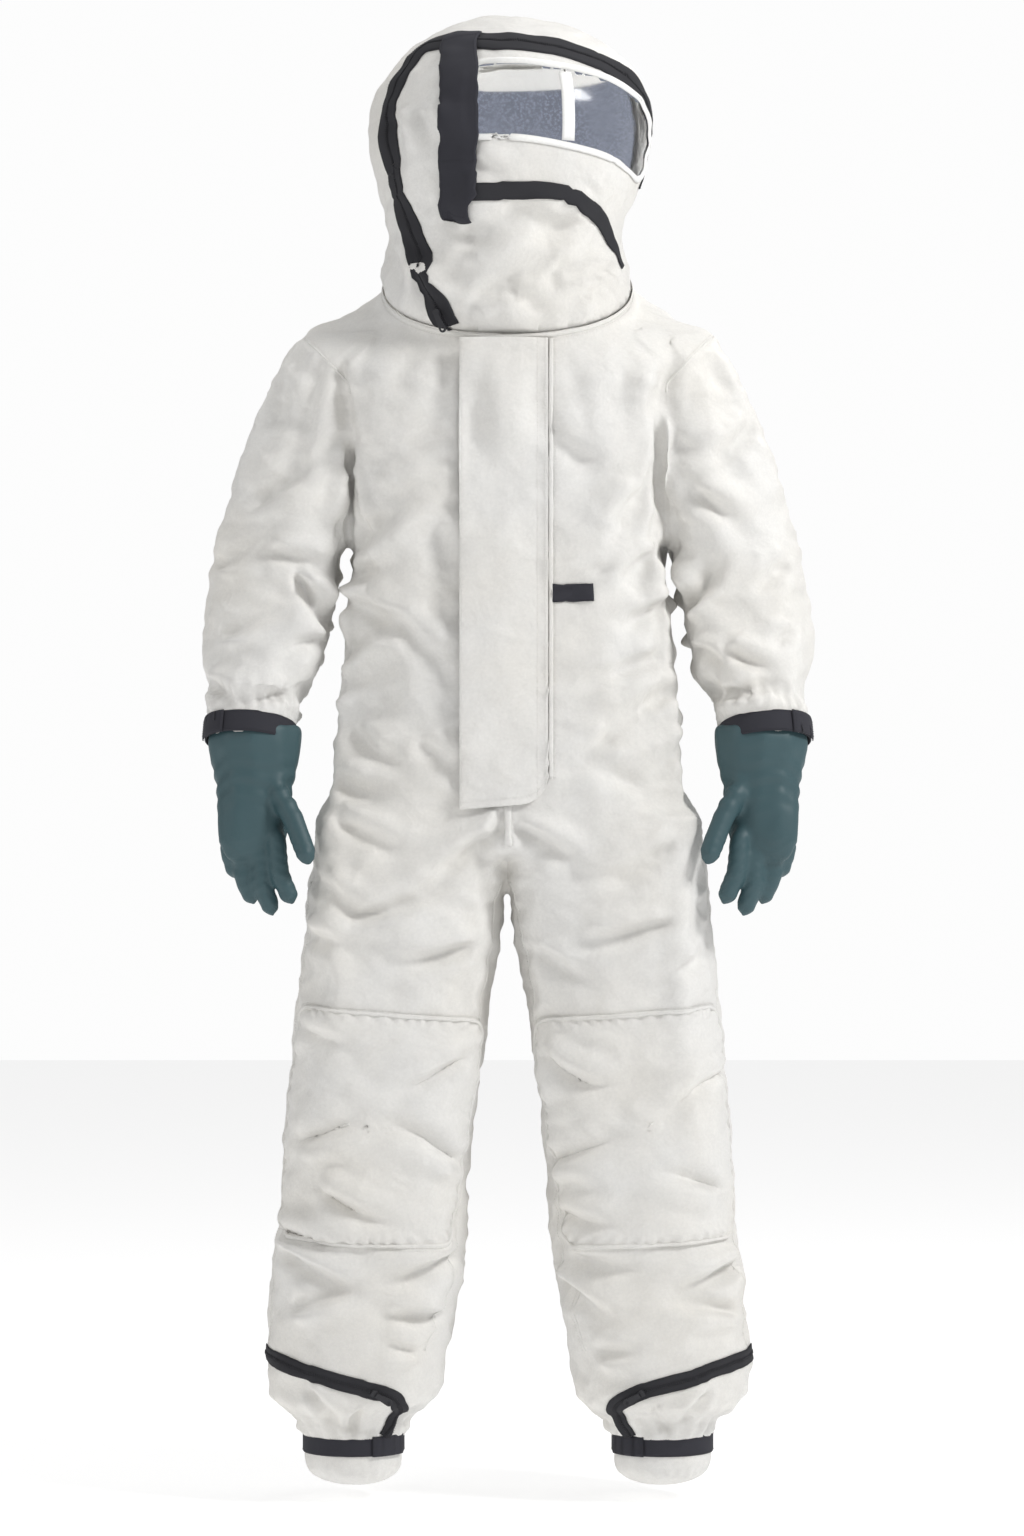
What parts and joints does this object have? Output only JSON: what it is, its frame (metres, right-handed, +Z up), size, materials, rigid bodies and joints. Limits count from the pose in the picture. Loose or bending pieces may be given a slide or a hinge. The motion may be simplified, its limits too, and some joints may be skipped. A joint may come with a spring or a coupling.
{
  "type": "beekeeping suit",
  "caption": "Full-length hooded beekeeping coverall with clear visor, storm flap over a front zip, gloves, cuff straps, knee patches and ankle zips.",
  "frame": {"origin": "middle of the neck seam's width, level with the place where the seam crosses the front, where the wearer's neck and shoulders hold the suit up", "axes": "+Z up along the wearer, -Y out of the front, +X towards the wearer's left"},
  "size_m": [0.7674, 0.3675, 1.83],
  "materials": {
    "cloth": "off-white ventilated cloth with a coarse basket weave",
    "lining_mesh": "open blue-grey spacer mesh",
    "zip_tape": "black woven zip tape with coil teeth",
    "hook_and_loop": "black hook-and-loop webbing",
    "binding": "smooth white binding",
    "clear_sheet": "clear flexible sheet",
    "glove_leather": "dark green grained leather",
    "zip_metal": "black painted metal"
  },
  "bodies": {
    "coverall": {"front_panel_left": "cloth", "front_panel_right": "cloth", "back_panel": "cloth", "flap_hem": "cloth", "badge_patch": "hook_and_loop", "front_zip_tape": "zip_tape", "hood_back_panel": "cloth", "hood_front_panel": "cloth", "hood_zip_tape_back": "zip_tape", "hood_zip_tape_front": "zip_tape", "hood_mesh_lining": "lining_mesh", "hood_lining_band": "cloth", "upper_sleeve_left": "cloth", "upper_sleeve_right": "cloth", "thigh_panel_left": "cloth", "thigh_panel_right": "cloth", "knee_patch_left": "cloth", "knee_patch_right": "cloth"},
    "storm_flap": {"storm_flap": "cloth"},
    "front_slider": {"front_zip_slider": "zip_metal", "front_zip_pull": "zip_metal"},
    "hood_slider": {"hood_zip_slider": "zip_metal"},
    "hood_pull": {"hood_zip_pull": "zip_metal"},
    "face": {"face_panel": "cloth", "visor_pane_left": "clear_sheet", "visor_pane_right": "clear_sheet", "visor_binding": "binding", "visor_divider": "binding", "visor_zip_tape": "zip_tape", "chin_tape": "hook_and_loop", "face_strap": "hook_and_loop"},
    "forearm_left": {"lower_sleeve_left": "cloth", "cuff_strap_left": "hook_and_loop"},
    "cuff_tab_left": {"cuff_tab_left": "hook_and_loop"},
    "glove_left": {"glove_left": "glove_leather"},
    "shin_left": {"shin_panel_left": "cloth", "ankle_strap_left": "hook_and_loop", "ankle_zip_tape_left": "zip_tape", "ankle_sock_left": "cloth"},
    "ankle_tab_left": {"ankle_tab_left": "hook_and_loop"},
    "ankle_slider_left": {"ankle_zip_slider_left": "zip_metal"},
    "ankle_pull_left": {"ankle_zip_pull_left": "zip_metal"},
    "forearm_right": {"lower_sleeve_right": "cloth", "cuff_strap_right": "hook_and_loop"},
    "cuff_tab_right": {"cuff_tab_right": "hook_and_loop"},
    "glove_right": {"glove_right": "glove_leather"},
    "shin_right": {"shin_panel_right": "cloth", "ankle_strap_right": "hook_and_loop", "ankle_zip_tape_right": "zip_tape", "ankle_sock_right": "cloth"},
    "ankle_tab_right": {"ankle_tab_right": "hook_and_loop"},
    "ankle_slider_right": {"ankle_zip_slider_right": "zip_metal"},
    "ankle_pull_right": {"ankle_zip_pull_right": "zip_metal"}
  },
  "joints": [
    {"name": "storm_flap_hinge", "type": "hinge", "parent": "coverall", "child": "storm_flap", "pos_m": [0.0372, -0.1457, -0.31], "axis": [0, 0, 1], "range_deg": [0, 150]},
    {"name": "front_zip_run", "type": "slide", "parent": "coverall", "child": "front_slider", "axis": [0, 0, -1], "range_m": [0, 0.45]},
    {"name": "hood_zip_run", "type": "slide", "parent": "coverall", "child": "hood_slider", "axis": [-0.3549, 0.1466, 0.9233], "range_m": [0, 0.06]},
    {"name": "hood_pull_swing", "type": "hinge", "parent": "hood_slider", "child": "hood_pull", "pos_m": [-0.08784, -0.12972, 0.00559], "axis": [-0.8031, 0.4418, -0.3997], "range_deg": [0, 120]},
    {"name": "face_opening", "type": "hinge", "parent": "coverall", "child": "face", "pos_m": [0.181, -0.006, 0.2], "axis": [0, 0, 1], "range_deg": [0, 100]},
    {"name": "elbow_left", "type": "hinge", "parent": "coverall", "child": "forearm_left", "pos_m": [0.296, -0.047, -0.33], "axis": [-1, 0, 0], "range_deg": [0, 70]},
    {"name": "cuff_tab_peel_left", "type": "hinge", "parent": "forearm_left", "child": "cuff_tab_left", "pos_m": [0.27357, -0.10523, -0.49574], "axis": [-0.1822, 0.1149, 0.9765], "range_deg": [0, 90]},
    {"name": "glove_pull_off_left", "type": "slide", "parent": "forearm_left", "child": "glove_left", "axis": [0, -0.2756, -0.9613], "range_m": [0, 0.09]},
    {"name": "knee_left", "type": "hinge", "parent": "coverall", "child": "shin_left", "pos_m": [0.163, -0.006, -0.985], "axis": [1, 0, 0], "range_deg": [0, 70]},
    {"name": "ankle_tab_peel_left", "type": "hinge", "parent": "shin_left", "child": "ankle_tab_left", "pos_m": [0.16342, -0.06308, -1.39957], "axis": [-0.2436, -0.5215, 0.8177], "range_deg": [0, 90]},
    {"name": "ankle_zip_run_left", "type": "hinge", "parent": "shin_left", "child": "ankle_slider_left", "pos_m": [0.19535, 0.00543, -1.30682], "axis": [-0.273, -0.0114, 0.9619], "range_deg": [0, 90]},
    {"name": "ankle_pull_swing_left", "type": "hinge", "parent": "ankle_slider_left", "child": "ankle_pull_left", "pos_m": [0.16169, -0.11403, -1.31846], "axis": [-0.5508, -0.0754, 0.8312], "range_deg": [0, 120]},
    {"name": "elbow_right", "type": "hinge", "parent": "coverall", "child": "forearm_right", "pos_m": [-0.296, -0.047, -0.33], "axis": [-1, 0, 0], "range_deg": [0, 70]},
    {"name": "cuff_tab_peel_right", "type": "hinge", "parent": "forearm_right", "child": "cuff_tab_right", "pos_m": [-0.27357, -0.10523, -0.49574], "axis": [-0.1822, -0.1149, -0.9765], "range_deg": [0, 90]},
    {"name": "glove_pull_off_right", "type": "slide", "parent": "forearm_right", "child": "glove_right", "axis": [0, -0.2756, -0.9613], "range_m": [0, 0.09]},
    {"name": "knee_right", "type": "hinge", "parent": "coverall", "child": "shin_right", "pos_m": [-0.163, -0.006, -0.985], "axis": [1, 0, 0], "range_deg": [0, 70]},
    {"name": "ankle_tab_peel_right", "type": "hinge", "parent": "shin_right", "child": "ankle_tab_right", "pos_m": [-0.16342, -0.06308, -1.39957], "axis": [-0.2436, 0.5215, -0.8177], "range_deg": [0, 90]},
    {"name": "ankle_zip_run_right", "type": "hinge", "parent": "shin_right", "child": "ankle_slider_right", "pos_m": [-0.19535, 0.00543, -1.30682], "axis": [-0.273, 0.0114, -0.9619], "range_deg": [0, 90]},
    {"name": "ankle_pull_swing_right", "type": "hinge", "parent": "ankle_slider_right", "child": "ankle_pull_right", "pos_m": [-0.16169, -0.11403, -1.31846], "axis": [-0.5508, 0.0754, -0.8312], "range_deg": [0, 120]}
  ]
}
